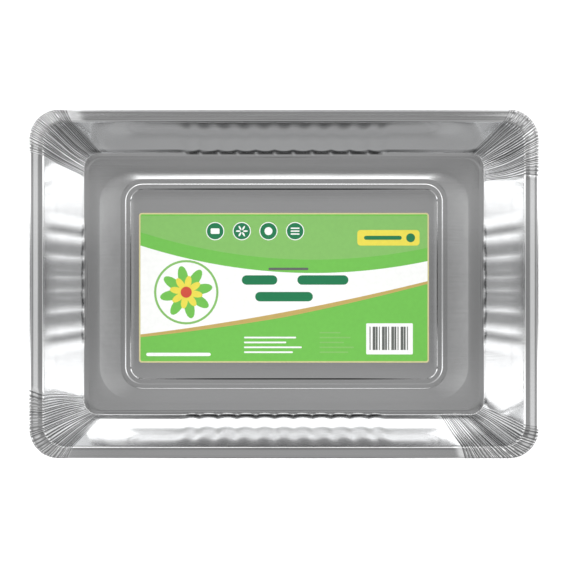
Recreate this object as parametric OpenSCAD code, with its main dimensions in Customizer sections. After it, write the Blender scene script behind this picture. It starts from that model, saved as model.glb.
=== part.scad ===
// Foil roasting pan: one sheet of aluminium foil, pressed into a rectangular pan.
// The section runs from the free end of the rolled bead, over the flange, down the
// wall and across the floor, over a low terrace and ridge to the panel inside them.
// Every ring of the skin is a rounded rectangle at one point of that section. The
// corners are gathered in pleats and the sides are fluted. A printed label lies on
// the panel.
// The origin is the centre of the base, on the surface that the pan stands on.

/* [Rim] */
// Length over the bead
rim_length = 413.4; // [340:0.2:480]
// Width over the bead
rim_width = 283.2; // [230:0.2:340]
// Corner radius of the bead's outside
rim_corner_r = 24; // [18:0.5:32]
// Width of the flange, from the lip of the wall to the bead's outside
flange_width = 10; // [8:0.2:13]
// Extra width of the flange at the two ends
flange_extra = 1.7; // [0:0.1:4]
// Outside radius of the bead rolled under the edge
bead_r = 1.5; // [1.2:0.1:2]
// Height of the bead's crest above the flange
bead_proud = 0.25; // [0.1:0.05:1]
// Width of the flange's inner band, which slopes down to the lip
flange_slope_width = 3.2; // [2.5:0.1:4]
// Drop of the flange's inner band
flange_drop = 0.6; // [0.2:0.1:1.5]

/* [Body] */
// Depth from the lip of the wall to the floor
depth = 60; // [40:1:85]
// How far the wall leans in from lip to floor
wall_lean = 15.2; // [10:0.2:26]
// Extra lean of the two end walls
wall_lean_extra = 1; // [0:0.2:4]
// How far the wall bows inwards, a third of the way down
wall_bow = 1.1; // [0:0.1:2]
// Thickness of the foil
foil = 0.1; // [0.08:0.01:0.3]
// Corner radius at the lip of the wall
lip_corner_r = 18; // [14:0.5:24]
// Corner radius of the floor
floor_corner_r = 13.5; // [9:0.5:20]
// Length of the bend at the lip, along each of its sides
lip_bend = 0.9; // [0.6:0.1:1.8]
// Length of the bend between wall and floor, up the wall
foot_height = 7; // [3:0.5:10]
// Length of the bend between wall and floor, along the floor
foot_width = 2; // [1:0.1:4]

/* [Floor panel] */
// Width of the flat floor round the slope up to the terrace
floor_band = 16; // [9:0.5:22]
// Width of that slope on the long sides
panel_slope = 6; // [4:0.2:9]
// Extra width of that slope at the two ends
panel_slope_extra = 9.8; // [0:0.2:20]
// Height of the terrace above the floor
terrace_rise = 0.75; // [0.5:0.05:1.5]
// Width of the terrace between its crest and the ridge
terrace = 4; // [2:0.1:8]
// Height of the ridge above the terrace
ridge_rise = 0.2; // [0.1:0.05:0.5]
// Width of the slope between terrace and ridge
ridge_run = 0.9; // [0.6:0.1:2]
// Width of the ridge's flat top
ridge_width = 3.7; // [1.5:0.1:6]
// Width of the step from the ridge down to the panel
step_run = 0.7; // [0.4:0.1:1.5]
// Height of the panel's edge above the floor
panel_edge_lift = 0.35; // [0.1:0.05:0.5]
// Height of the panel's flat middle above its edge
panel_crown = 0.2; // [0:0.05:0.5]
// Width of the panel's sloping border on its long sides
crown_side = 13; // [4:0.5:16]
// Width of the panel's sloping border at its ends
crown_end = 6; // [2:0.5:12]
// Corner radius of the terrace's crest
crest_corner_r = 20; // [18:0.5:28]

/* [Flutes] */
// Distance between flutes on the long sides
flute_pitch_long = 16.8; // [14:0.2:22]
// Distance between flutes on the short sides
flute_pitch_short = 17.2; // [14:0.2:22]
// Plain length between the corner and the first flute, on the long sides
plain_long = 84; // [60:1:110]
// Plain length between the corner and the first flute, on the short sides
plain_short = 50; // [50:1:70]
// How far a flute stands out of the long walls, to the inside, halfway down
flute_depth_long = 1.2; // [0.3:0.1:2]
// How far a flute stands out of the short walls, to the inside, halfway down
flute_depth_short = 0.8; // [0.3:0.1:2]

/* [Corner gathers] */
// Pleats in each corner
pleats = 19; // [12:1:20]
// Height of a pleat on the flange
pleat_rim = 0.4; // [0.2:0.05:0.8]
// Height of a pleat on the wall
pleat_wall = 0.95; // [0.3:0.05:1.2]
// Run of the pleats past each corner's bend at the rim, on the long sides, from +x +y round
rim_gather_long = [0, 6, 7, 36]; // [0:1:40]
// Run of the pleats past each corner's bend at the rim, on the short sides
rim_gather_short = [30, 11, 32, 2]; // [0:1:40]
// Run of the pleats past each corner's bend at the floor, on the long sides
floor_gather_long = [0, 2, 4, 26]; // [0:1:30]
// Run of the pleats past each corner's bend at the floor, on the short sides
floor_gather_short = [12, 8, 4, 0]; // [0:1:30]

/* [Label] */
// Margin between the panel's flat middle and the label's ends
label_margin_end = 1.2; // [0:0.2:12]
// Mean margin between the panel's flat middle and the label's long sides
label_margin_side = 4.7; // [0:0.1:20]
// How far the label lies off centre, towards -y
label_shift = 3.4; // [0:0.2:7]
// Corner radius of the label
label_corner_r = 2.5; // [1:0.5:6]
// Thickness of the label
label_t = 0.2; // [0.1:0.05:0.5]

/* [Hidden] */

// A fine ring follows every pleat and flute, a rim ring follows the pleats, and a
// plain ring has only its corner arcs.
FINE = 0;
RIM = 1;
PLAIN = 2;

flute_steps = 3;
plain_corner_steps = 6;
slope_steps = [0, 0.4, 0.7, 0.9, 1];
seed = 7;
// Share of a flute's depth at each step of its width, and in the two end flutes.
flute_shape = [0, 1, 1];
end_flute_share = 0.7;
// Rings of the wall between its bends: [share of the way down, share of the pleats'
// height].
wall_rings = [[0.14, 1], [0.45, 1], [0.9, 0.5]];
// Share of the pleats' height on the bead's underside.
under_gather = 0.6;
// How far a pleat leans over to one side, as a share of half its width.
pleat_lean = 0.45;

floor_z = foil;
lip_z = floor_z + depth;
flange_z = lip_z + flange_drop;
crest_z = flange_z + bead_proud;
terrace_z = floor_z + terrace_rise;
ridge_z = terrace_z + ridge_rise;
panel_edge_z = floor_z + panel_edge_lift;
panel_z = panel_edge_z + panel_crown;
crease_inset = flange_width - flange_slope_width;
floor_inset = flange_width + wall_lean;
floor_extra = flange_extra + wall_lean_extra;
crest_inset = floor_inset + floor_band + panel_slope;
panel_extra = floor_extra + panel_slope_extra;
step_foot_run = terrace + ridge_run + ridge_width + step_run;

// A section point is [inset, height, extra inset at the ends, corner radius,
// reach of the gathers from floor to rim, pleat height, share of the flutes' depth].
INSET = 0;
HEIGHT = 1;
EXTRA = 2;
RADIUS = 3;
REACH = 4;
PLEAT = 5;
FLUTE = 6;

function mix(a, b, t) = a + (b - a) * t;

// A bow that is 0 at the lip and the foot and 1 a third of the way down.
function bow(t) = t * pow(1 - t, 2) * 27 / 4;

// The flutes rise from the lip, are full halfway down and fade towards the foot.
function flute_rise(t) = 4 * t * (1 - t);

// The point of the wall at a share of the way down, with its pleats and flutes.
function wall_point(t, pleat, flute) = [
    mix(flange_width, floor_inset, t) + wall_bow * bow(t),
    mix(lip_z, floor_z, t),
    mix(flange_extra, floor_extra, t),
    mix(lip_corner_r, floor_corner_r, t),
    1 - t, pleat, flute,
];

// The flange's corner radius and its extra width run from the bead's to the lip's.
function rim_point(inset, z, pleat) =
    let (t = inset / flange_width)
    [inset, z, flange_extra * t, mix(rim_corner_r, lip_corner_r, t), 1, pleat, 0];

function bead_point(angle) =
    rim_point(
        bead_r * (1 - cos(angle)),
        crest_z - bead_r * (1 - sin(angle)),
        angle < 0 ? pleat_rim * under_gather : pleat_rim
    );

function floor_point(inset, z, extra, radius) = [inset, z, extra, radius, 0, 0, 0];

// A point round the panel, at a distance in from the terrace's crest. The corners of
// these outlines stay round the same centres.
function panel_point(run, z) =
    floor_point(crest_inset + run, z, panel_extra, crest_corner_r - run);

// The slope up to the crest, which steepens on its way and is wider at the ends.
function slope_point(t) =
    floor_point(
        crest_inset + panel_slope * (t - 1), mix(floor_z, terrace_z, pow(t, 1.75)),
        mix(floor_extra, panel_extra, t), crest_corner_r + panel_slope * (1 - t)
    );

// The point at a distance from the corner of a bend, towards a neighbour.
function toward(corner, neighbour, distance) =
    let (run = norm([neighbour[INSET] - corner[INSET], neighbour[HEIGHT] - corner[HEIGHT]]))
    mix(corner, neighbour, distance / run);

// A bend rounds a corner of the section, in equal steps between its two ends.
function bend(before, corner, after, reach_before, reach_after, steps) =
    let (a = toward(corner, before, reach_before), b = toward(corner, after, reach_after))
    [for (i = [0:steps]) let (t = i / steps) mix(mix(a, corner, t), mix(corner, b, t), t)];

crease = rim_point(crease_inset, flange_z, pleat_rim);
lip = wall_point(0, pleat_rim, 0);
floor_edge = floor_point(floor_inset, floor_z, floor_extra, floor_corner_r);
ridge_foot = panel_point(terrace, terrace_z);
ridge_head = panel_point(terrace + ridge_run, ridge_z);
step_head = panel_point(terrace + ridge_run + ridge_width, ridge_z);
step_foot = panel_point(step_foot_run, panel_edge_z);
crown = floor_point(
    crest_inset + step_foot_run + crown_side, panel_z, panel_extra - crown_side + crown_end,
    step_foot[RADIUS] / 2
);

// The wall's rings stand between the lip and the bend at its foot. The flutes end short
// of both bends, and the pleats end short of the lower one.
wall_places = [for (r = wall_rings) [r[0] * (1 - foot_height / depth), r[1]]];
lip_curve = bend(crease, lip, wall_point(wall_places[0][0], pleat_wall, 0), lip_bend, lip_bend, 1);
floor_curve = bend(
    wall_point(wall_places[2][0], 0, 0), floor_edge, slope_point(0), foot_height, foot_width, 3
);

// The section from the bead's free end to the middle of the panel. Each entry is a
// kind of ring and its section point.
section = concat(
    [for (angle = [-135, -80, -25, 32, 90]) [RIM, bead_point(angle)]],
    [
        [RIM, rim_point(2 * bead_r, flange_z, pleat_rim)],
        [RIM, crease],
        [RIM, lip_curve[0]],
        [FINE, lip_curve[1]],
    ],
    [
        for (w = wall_places)
            [FINE, wall_point(w[0], pleat_wall * w[1], flute_rise(w[0]))]
    ],
    [[FINE, floor_curve[0]]],
    [for (i = [1:3]) [PLAIN, floor_curve[i]]],
    [for (t = slope_steps) [PLAIN, slope_point(t)]],
    [for (p = [ridge_foot, ridge_head, step_head, step_foot, crown]) [PLAIN, p]]
);

function half_length(p) = rim_length / 2 - p[INSET] - p[EXTRA];
function half_width(p) = rim_width / 2 - p[INSET];

// Quarter turns: side 0 is the +x end, and corner 0 follows it at +x +y.
function turn(p, quarter) =
    quarter == 0 ? p :
    quarter == 1 ? [-p.y, p.x] :
    quarter == 2 ? -p : [p.y, -p.x];

function is_end(quarter) = quarter % 2 == 0;
function front(p, quarter) = is_end(quarter) ? half_length(p) : half_width(p);
function across(p, quarter) = is_end(quarter) ? half_width(p) : half_length(p);

// Flutes: as many as fit between the plain stretches of a side.
function flute_pitch(quarter) = is_end(quarter) ? flute_pitch_short : flute_pitch_long;
function flute_depth(quarter) = is_end(quarter) ? flute_depth_short : flute_depth_long;
function flute_count(quarter) =
    let (
        straight = across(floor_edge, quarter) - floor_corner_r,
        plain = is_end(quarter) ? plain_short : plain_long
    )
    max(1, floor(2 * (straight + floor_corner_r - plain) / flute_pitch(quarter)));

// Marks on a side: [place along it, pleat height, flute depth].
function side_marks(kind, quarter) =
    kind != FINE ? [] :
    let (count = flute_count(quarter), pitch = flute_pitch(quarter))
    [
        for (i = [0:count * flute_steps])
            let (
                flute = floor(i / flute_steps),
                share = flute == 0 || flute == count - 1 ? end_flute_share : 1
            )
            [
                (i / flute_steps - count / 2) * pitch, 0,
                flute_depth(quarter) * share * flute_shape[i % flute_steps],
            ]
    ];

// Marks round a corner: [share of its length, pleat height, flute depth].
function pleat_marks(quarter) =
    let (
        steps = 2 * pleats,
        shift = rands(-0.3, 0.3, steps + 1, seed + quarter),
        height = rands(0.5, 1, steps + 1, seed + 4 + quarter)
    )
    [
        for (i = [0:steps])
            let (
                edge = i == 0 || i == steps,
                ridge = i % 2 == 1,
                lean = ridge ? pleat_lean : 0
            )
            [
                edge ? i / steps : (i + lean + shift[i]) / steps,
                ridge ? height[i] * min(1, sin(180 * i / steps) + 0.35) : 0,
                0,
            ]
    ];

function corner_marks(kind, quarter) =
    kind == PLAIN ?
        [for (i = [0:plain_corner_steps]) [i / plain_corner_steps, 0, 0]] :
        pleat_marks(quarter);

// Marks are worked out once for each kind of ring and each quarter.
all_sides = [for (kind = [FINE, RIM, PLAIN]) [for (q = [0:3]) side_marks(kind, q)]];
all_corners = [for (kind = [FINE, RIM, PLAIN]) [for (q = [0:3]) corner_marks(kind, q)]];

// Run of the pleats past a corner's arc, on the long side or the short side there.
function reach_long(p, quarter) =
    mix(floor_gather_long[quarter], rim_gather_long[quarter], p[REACH]);
function reach_short(p, quarter) =
    mix(floor_gather_short[quarter], rim_gather_short[quarter], p[REACH]);

// A place round a corner, as [position, outward direction], for a share of its path:
// a straight run, the arc, and another straight run. A plain ring has only the arc.
function corner_place(p, kind, quarter, share) =
    let (
        r = p[RADIUS],
        arc = r * PI / 2,
        reaches = [reach_short(p, quarter), reach_long(p, quarter)],
        before = kind == PLAIN ? 0 : reaches[quarter % 2],
        after = kind == PLAIN ? 0 : reaches[1 - quarter % 2],
        s = mix(-before, arc + after, share),
        angle = 90 * min(1, max(0, s / arc)),
        centre = [front(p, quarter) - r, across(p, quarter) - r],
        out = [cos(angle), sin(angle)],
        run = s < 0 ? [0, s] : s > arc ? [arc - s, 0] : [0, 0]
    )
    [turn(centre + r * out + run, quarter), turn(out, quarter)];

function side_place(p, quarter, place) =
    [turn([front(p, quarter), place], quarter), turn([1, 0], quarter)];

// The section's normal at ring i, as [outward, upward] parts.
function section_normal(i) =
    let (
        a = section[max(i - 1, 0)][1],
        b = section[min(i + 1, len(section) - 1)][1],
        way = [a[INSET] - b[INSET], b[HEIGHT] - a[HEIGHT]]
    )
    [way.y, -way.x] / norm(way);

// One ring of a skin. Offset 0 is the upper skin, and -foil is the lower one.
function ring(i, offset) =
    let (
        kind = section[i][0],
        p = section[i][1],
        normal = section_normal(i)
    )
    [
        for (q = [0:3]) each concat(
            [
                for (m = all_sides[kind][q])
                    lift(side_place(p, q, m[0]), m, p, normal, offset)
            ],
            [
                for (m = all_corners[kind][q])
                    lift(corner_place(p, kind, q, m[0]), m, p, normal, offset)
            ]
        )
    ];

// Moves a place off the section, for its pleat or flute and for the foil's thickness.
function lift(place, mark, p, normal, offset) =
    let (
        rise = mark[1] * p[PLEAT] + mark[2] * p[FLUTE] + offset,
        flat = place[0] + place[1] * normal.x * rise
    )
    [flat.x, flat.y, p[HEIGHT] + normal.y * rise];

// The eight stretches of a ring, as lists of [point number, place along the stretch].
FAR = 1e6;
function stretches(kind) =
    let (
        sides = [for (q = [0:3]) len(all_sides[kind][q])],
        corners = [for (q = [0:3]) len(all_corners[kind][q])],
        start = [for (q = 0, s = 0; q < 4; s = s + sides[q] + corners[q], q = q + 1) s],
        total = start[3] + sides[3] + corners[3]
    )
    [
        for (q = [0:3]) each [
            concat(
                [[(start[q] + total - 1) % total, -FAR]],
                [for (i = [0:1:sides[q] - 1]) [start[q] + i, all_sides[kind][q][i][0]]],
                [[start[q] + sides[q], FAR]]
            ),
            [
                for (i = [0:corners[q] - 1])
                    [start[q] + sides[q] + i, all_corners[kind][q][i][0]]
            ],
        ]
    ];
all_stretches = [for (kind = [FINE, RIM, PLAIN]) stretches(kind)];

function ring_size(kind) =
    let (last = all_stretches[kind][7])
    last[len(last) - 1][0] + 1;

// How many marks of b lie before the middle of step i of a.
function passed(a, b, i) =
    let (middle = (a[i][1] + a[i + 1][1]) / 2)
    len([for (j = [1:len(b) - 1]) if (b[j][1] <= middle) 1]);

// Triangles between a stretch of one ring and the same stretch of the next.
function zip_stretch(a, b, a0, b0) =
    let (at = [for (i = [0:len(a) - 2]) min(passed(a, b, i), len(b) - 1)])
    concat(
        [for (i = [0:len(a) - 2]) [a0 + a[i + 1][0], a0 + a[i][0], b0 + b[at[i]][0]]],
        [
            for (j = [0:len(b) - 2])
                let (i = len([for (k = at) if (k <= j) 1]))
                [a0 + a[i][0], b0 + b[j][0], b0 + b[j + 1][0]]
        ]
    );

function zip_rings(kind_a, kind_b, a0, b0) =
    [
        for (s = [0:7])
            each zip_stretch(all_stretches[kind_a][s], all_stretches[kind_b][s], a0, b0)
    ];

function flipped(faces) = [for (f = faces) [for (i = [len(f) - 1:-1:0]) f[i]]];
function shifted(faces, by) = [for (f = faces) [for (i = f) i + by]];

// The pan is the skin between the two offsets of the section, closed at the bead's
// free end and across the middle of the panel.
module foil_sheet() {
    last = len(section) - 1;
    kinds = [for (s = section) s[0]];
    starts = [for (i = 0, s = 0; i <= last; s = s + ring_size(kinds[i]), i = i + 1) s];
    upper = [for (i = [0:last]) each ring(i, 0)];
    lower = [for (i = [0:last]) each ring(i, -foil)];
    skin = concat(
        [for (i = [0:last - 1]) each zip_rings(kinds[i], kinds[i + 1], starts[i], starts[i + 1])],
        [[for (i = [ring_size(kinds[last]) - 1:-1:0]) starts[last] + i]]
    );
    edge_size = ring_size(kinds[0]);
    edge = [
        for (i = [0:edge_size - 1])
            let (j = (i + 1) % edge_size, below = len(upper))
            each [[i, j, below + j], [i, below + j, below + i]]
    ];
    polyhedron(
        points = concat(upper, lower),
        faces = concat(skin, flipped(shifted(skin, len(upper))), edge)
    );
}

module pan() {
    color("silver")
        foil_sheet();
}

label_length = 2 * (half_length(crown) - label_margin_end);
label_width = 2 * (half_width(crown) - label_margin_side);

// A flat sheet with four rounded corners, centred on the origin.
module rounded_sheet(length, width, r, thickness) {
    linear_extrude(height = thickness)
        union() {
            square([length - 2 * r, width], center = true);
            square([length, width - 2 * r], center = true);
            for (x = [-1, 1], y = [-1, 1])
                translate([x * (length / 2 - r), y * (width / 2 - r)])
                    circle(r = r, $fn = 48);
        }
}

module label() {
    color("yellowgreen")
        translate([0, -label_shift, panel_z])
            rounded_sheet(label_length, label_width, label_corner_r, label_t);
}

pan();
label();
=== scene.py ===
# Foil roasting pan: the pressed foil, its printed label, and a white studio seen
# from straight above. Sizes are in millimetres until a mesh is made, and the frame
# is in metres.

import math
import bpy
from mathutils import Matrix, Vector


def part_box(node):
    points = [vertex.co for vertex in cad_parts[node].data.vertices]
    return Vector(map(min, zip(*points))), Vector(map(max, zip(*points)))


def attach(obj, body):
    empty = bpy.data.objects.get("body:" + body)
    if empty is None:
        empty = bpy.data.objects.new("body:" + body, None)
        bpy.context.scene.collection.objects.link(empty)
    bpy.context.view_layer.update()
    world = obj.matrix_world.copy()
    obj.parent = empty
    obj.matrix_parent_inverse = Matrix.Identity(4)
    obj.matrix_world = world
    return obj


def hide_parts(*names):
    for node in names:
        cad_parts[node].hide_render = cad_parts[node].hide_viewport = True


bl_info = {
    "name": "Foil roasting pan",
    "version": (1, 0, 0),
    "blender": (4, 5, 0),
    "location": "3D View > Sidebar > Foil Pan",
    "description": "Builds a pressed foil roasting pan with a printed label",
    "category": "Object",
}

import bpy
import numpy as np
from mathutils import Vector

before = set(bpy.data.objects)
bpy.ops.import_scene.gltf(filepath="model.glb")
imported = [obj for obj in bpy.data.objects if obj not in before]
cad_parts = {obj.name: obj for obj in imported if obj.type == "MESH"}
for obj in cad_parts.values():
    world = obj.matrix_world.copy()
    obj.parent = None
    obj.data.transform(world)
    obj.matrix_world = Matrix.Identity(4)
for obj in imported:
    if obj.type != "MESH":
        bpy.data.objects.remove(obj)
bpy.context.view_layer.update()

MM = 0.001
BODY = "root"
LABEL_LOW, LABEL_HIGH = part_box("label")

# Rim. Its outer band falls from a crease to the bead, and its inner band drops to the
# lip. Here and below, an extra width is that of the two ends.
RIM_LENGTH = 413.4
RIM_WIDTH = 283.2
RIM_CORNER_R = 24.0
FLANGE_WIDTH = 10.0
FLANGE_EXTRA = 1.7
FLANGE_SLOPE_WIDTH = 3.2
FLANGE_DROP = 0.3
FLANGE_FALL = 0.15
FLANGE_BEND = 0.7
# The bead, the height of its top above the flange, and its angles from its free end
# under the rim to its top.
BEAD_R = 1.5
BEAD_PROUD = -0.05
BEAD_START = -135
BEAD_END = 90
BEAD_RINGS = 7
# Below this angle the bead is turned under the rim.
BEAD_UNDER = -30

# Wall. It leans out, bows inwards a third of the way down, and ends in a crease at the
# foot with a low fillet along the floor.
DEPTH = 60.0
WALL_LEAN = 13.3
WALL_LEAN_EXTRA = 1.0
WALL_BELLY = 1.1
LIP_CORNER_R = 18.0
FLOOR_CORNER_R = 13.5
LIP_BEND = 1.3
FOOT_RISE = 0.8
FOOT_WIDTH = 3.9
FOOT_BEND = 0.9
FILLET_BEND = 0.8

# Floor. A slope rises from its flat band to the crest of a terrace. Then come a ridge,
# a step down, and the panel, whose border rises to its flat middle.
FLOOR_BAND = 13.9
PANEL_SLOPE = 10.0
PANEL_SLOPE_EXTRA = 9.8
TERRACE_RISE = 0.75
TERRACE = 4.0
RIDGE_RISE = 0.2
RIDGE_RUN = 0.9
RIDGE_WIDTH = 3.7
STEP_RUN = 0.7
PANEL_EDGE_LIFT = 0.35
PANEL_CROWN = 0.2
CROWN_SIDE = 13.0
CROWN_END = 6.0
CREST_CORNER_R = 20.0
# A rib along the terrace's crest, on its long sides: its height and the width of its
# inner side.
CREST_RIB = 0.3
CREST_RIB_RUN = 0.9
# Powers of the share of the way up: one for the slope's height and its run, and one for
# its run at the back, so that it steepens there.
SLOPE_CURVE = 1.25
BACK_SLOPE_CURVE = 0.68
SLOPE_RINGS = 10
# Length and hold of the bends from the crest to the foot of the step.
PANEL_BENDS = ((0.15, 0.0), (0.2, 0.2), (0.25, 0.15), (0.25, 0.15), (0.12, 0.12), (0.12, 0.12))

# Reach of the pleats past each corner's bend, from +x +y round, along the long and
# the short sides. A negative reach starts inside the bend.
RIM_GATHER_LONG = (0.0, 6.0, 7.0, 36.0)
RIM_GATHER_SHORT = (30.0, 11.0, 32.0, 2.0)
FLOOR_GATHER_LONG = (-2.0, 2.0, 4.0, 26.0)
FLOOR_GATHER_SHORT = (12.0, 8.0, 4.0, -5.0)
# How much of the way from the floor's reach to the rim's the pleats have at the lip.
LIP_REACH = 0.7
# How far along their wander the pleats are at the rim's edge. At the foot it is 0, and
# at the lip 1.
RIM_WANDER = 1.35
# Share of the rim's pleats that the bead has on top and underneath.
BEAD_PLEAT = 0.8
UNDER_PLEAT = 0.6
# Rings of the wall: [share of the way down, share of the pleats' height].
WALL_RINGS = (
    (0.045, 0.8), (0.075, 0.85), (0.12, 0.95), (0.18, 1.0), (0.27, 1.0), (0.38, 1.0),
    (0.5, 0.95), (0.61, 0.9), (0.71, 0.85), (0.8, 0.75), (0.88, 0.55), (0.94, 0.4),
)
# The pleats' height at the foot, as a share of the wall's, and the share of it and of
# the flutes at each ring of the bend there.
FOOT_PLEAT = 0.35
FOOT_SHARES = (1.0, 1.0, 1.0, 0.95, 0.8, 0.55, 0.3, 0.1)

FLUTE_PITCH_LONG = 16.8
FLUTE_PITCH_SHORT = 17.2
FLUTES_LONG = 11
FLUTES_SHORT = 7
# Depth of the flutes on the short sides, as a share of the long sides' depth.
SHORT_FLUTE_SHARE = 0.45
# Depth of the flutes just above the foot, as a share of their depth halfway down.
FOOT_FLUTE = 0.75
# The pitches over which a row of flutes rises at its two ends.
FLUTE_FADE = 0.7
FLUTE_STEPS = 6
# Stations between flutes and pleats. The outer two stand this close to them.
GAP_STEPS = 6
GAP_HOLD = 0.3

# Shares of the full painted shade: at the foot of the flutes and on the outermost rings
# there, on the step at the two ends, in the creases on the rim, and on the outside.
FOOT_SHADE = 0.9
FOOT_SIDE_SHADE = 0.6
END_STEP_SHADE = 0.6
FLANGE_CREASE_SHADE = 0.75
OUTSIDE_SHADE = 0.4

# Columns of a section point.
INSET, HEIGHT, EXTRA, RADIUS, REACH, WANDER, PLEAT, FLUTE, RIB, SHIFT, SHADE = range(11)


class FoilPanSizes(bpy.types.PropertyGroup):
    foil: bpy.props.FloatProperty(
        name="Foil", description="Thickness of the foil, in mm",
        default=0.1, min=0.05, max=0.3,
    )
    pleats: bpy.props.IntProperty(
        name="Pleats", description="Pleats in each corner",
        default=28, min=8, max=30,
    )
    pleat_wall: bpy.props.FloatProperty(
        name="Pleat height", description="Height of a pleat on the wall, in mm",
        default=0.95, min=0.1, max=2.0,
    )
    pleat_rim: bpy.props.FloatProperty(
        name="Rim pleat height", description="Height of a pleat on the flange, in mm",
        default=0.45, min=0.1, max=1.0,
    )
    flute: bpy.props.FloatProperty(
        name="Flute depth", description="Depth of a flute halfway down the wall, in mm",
        default=0.9, min=0.1, max=4.0,
    )
    seed: bpy.props.IntProperty(
        name="Seed", description="Picks the way in which the corners fold",
        default=5, min=0, max=999,
    )


def colour_property(name, description, default):
    return bpy.props.FloatVectorProperty(
        name=name, description=description, subtype="COLOR",
        size=3, min=0.0, max=1.0, default=default,
    )


class FoilPanColours(bpy.types.PropertyGroup):
    foil: colour_property("Foil", "Reflected colour of the foil", (0.905, 0.91, 0.915))
    ground: colour_property("Label green", "Ground of the label", (0.165, 0.53, 0.08))
    deep: colour_property("Deep green", "Blocks on the label", (0.007, 0.188, 0.072))
    pale: colour_property("Pale green", "Bands on the label", (0.235, 0.523, 0.133))
    white: colour_property("White", "White fields of the label", (0.95, 0.96, 0.94))
    gold: colour_property("Gold", "Lines on the label", (0.56, 0.39, 0.12))
    yellow: colour_property("Yellow", "Banner on the label", (0.83, 0.72, 0.08))
    border: colour_property("Border", "Thin border of the label", (0.66, 0.6, 0.3))
    grey: colour_property("Grey", "Thin bars on the label", (0.12, 0.13, 0.12))
    accent: colour_property("Accent", "Small round fields of the label", (0.62, 0.07, 0.04))


# Shapes

def mix(a, b, t):
    return a + (b - a) * t


def section_point(inset, height, extra, radius, reach, wander, pleat=0.0, flute=0.0,
                  rib=0.0, shift=0.0, shade=0.0):
    return np.array(
        [inset, height, extra, radius, reach, wander, pleat, flute, rib, shift, shade]
    )


def bend(before, corner, after, reach, steps, hold=0.0):
    """Points that round a corner of the section, as far as its reach along both sides.

    With a hold, one more point on each side keeps the bend's shading to the bend.
    """
    def toward(neighbour, distance):
        run = np.hypot(*(neighbour - corner)[:2])
        return mix(corner, neighbour, distance / run)

    start, end = toward(before, reach), toward(after, reach)
    points = [
        mix(mix(start, corner, t), mix(corner, end, t), t)
        for t in np.linspace(0, 1, steps + 1)
    ]
    if hold:
        points = [toward(before, reach + hold), *points, toward(after, reach + hold)]
    return points


def pan_levels(foil):
    """The heights that the section is made of."""
    floor_z = foil
    lip_z = floor_z + DEPTH
    flange_z = lip_z + FLANGE_DROP
    terrace_z = floor_z + TERRACE_RISE
    return {
        "floor": floor_z,
        "lip": lip_z,
        "flange": flange_z,
        "crest": flange_z + BEAD_PROUD,
        "terrace": terrace_z,
        "ridge": terrace_z + RIDGE_RISE,
        "panel_edge": floor_z + PANEL_EDGE_LIFT,
        "panel": floor_z + PANEL_EDGE_LIFT + PANEL_CROWN,
    }


def wall_section(sizes, levels):
    """From the bead's free end to the foot of the wall. These rings follow every pleat."""
    def rim(inset, z, pleat):
        t = inset / FLANGE_WIDTH
        return section_point(
            inset, z, FLANGE_EXTRA * t, mix(RIM_CORNER_R, LIP_CORNER_R, t),
            mix(1.0, LIP_REACH, t), mix(RIM_WANDER, 1.0, t), pleat,
        )

    def bead(degrees):
        angle = math.radians(degrees)
        pleat = sizes.pleat_rim * (UNDER_PLEAT if degrees < BEAD_UNDER else BEAD_PLEAT)
        return rim(
            BEAD_R * (1 - math.cos(angle)),
            levels["crest"] - BEAD_R * (1 - math.sin(angle)), pleat,
        )

    def wall(t, pleat):
        return section_point(
            FLANGE_WIDTH + WALL_LEAN * t + WALL_BELLY * wall_swell(t),
            mix(levels["lip"], levels["floor"] + FOOT_RISE, t),
            FLANGE_EXTRA + WALL_LEAN_EXTRA * t, mix(LIP_CORNER_R, FLOOR_CORNER_R, t),
            LIP_REACH * (1 - t), 1 - t, pleat * sizes.pleat_wall, sizes.flute * flute_rise(t),
        )

    flange_edge = rim(2 * BEAD_R, levels["flange"] - FLANGE_FALL, sizes.pleat_rim)
    crease = rim(FLANGE_WIDTH - FLANGE_SLOPE_WIDTH, levels["flange"], sizes.pleat_rim)
    lip = rim(FLANGE_WIDTH, levels["lip"], sizes.pleat_rim)
    foot = wall(1.0, 0.0)
    floor_edge = floor_point(FOOT_WIDTH, levels["floor"])
    floor_in = floor_point(FLOOR_BAND, levels["floor"])
    rings = [bead(angle) for angle in np.linspace(BEAD_START, BEAD_END, BEAD_RINGS)]
    rings += bend(rings[-1], flange_edge, crease, FLANGE_BEND, 3, hold=0.25)
    rings += bend(flange_edge, crease, lip, FLANGE_BEND, 2, hold=0.3)
    rings += bend(crease, lip, wall(0.04, 0.7), LIP_BEND, 3, hold=0.3)
    rings += [wall(t, pleat) for t, pleat in WALL_RINGS]
    flute = rings[-1][FLUTE]
    foot_bend = bend(wall(0.96, 0.0), foot, floor_edge, FOOT_BEND, 5, hold=0.3)
    # Painted shade along the middle rings of the foot's bend, lighter on its outer ones.
    for ring, share in zip(foot_bend, FOOT_SHARES):
        ring[PLEAT] = FOOT_PLEAT * sizes.pleat_wall * share
        ring[FLUTE] = flute * share
        ring[SHADE] = FOOT_SHADE if 0.2 < share < 1 else FOOT_SIDE_SHADE
    # The fillet's inner end is flat, so its last ring is left to the floor's section.
    fillet = bend(foot, floor_edge, floor_in, FILLET_BEND, 2, hold=0.4)[:-1]
    for ring in fillet:
        ring[PLEAT] = ring[FLUTE] = ring[SHADE] = 0.0
    return rings + foot_bend + fillet


def floor_point(run, z, extra=0.0, radius=FLOOR_CORNER_R, rib=0.0, shift=0.0):
    """A point of the floor, at a distance in from its edge."""
    return section_point(
        FLANGE_WIDTH + WALL_LEAN + run, z, FLANGE_EXTRA + WALL_LEAN_EXTRA + extra, radius,
        0.0, 0.0, rib=rib, shift=shift,
    )


def flute_rise(t):
    """A flute's height down the wall: it rises from the lip and stays on at the foot."""
    return 4 * t * (1 - t) if t < 0.5 else mix(1.0, FOOT_FLUTE, 2 * t - 1)


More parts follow.
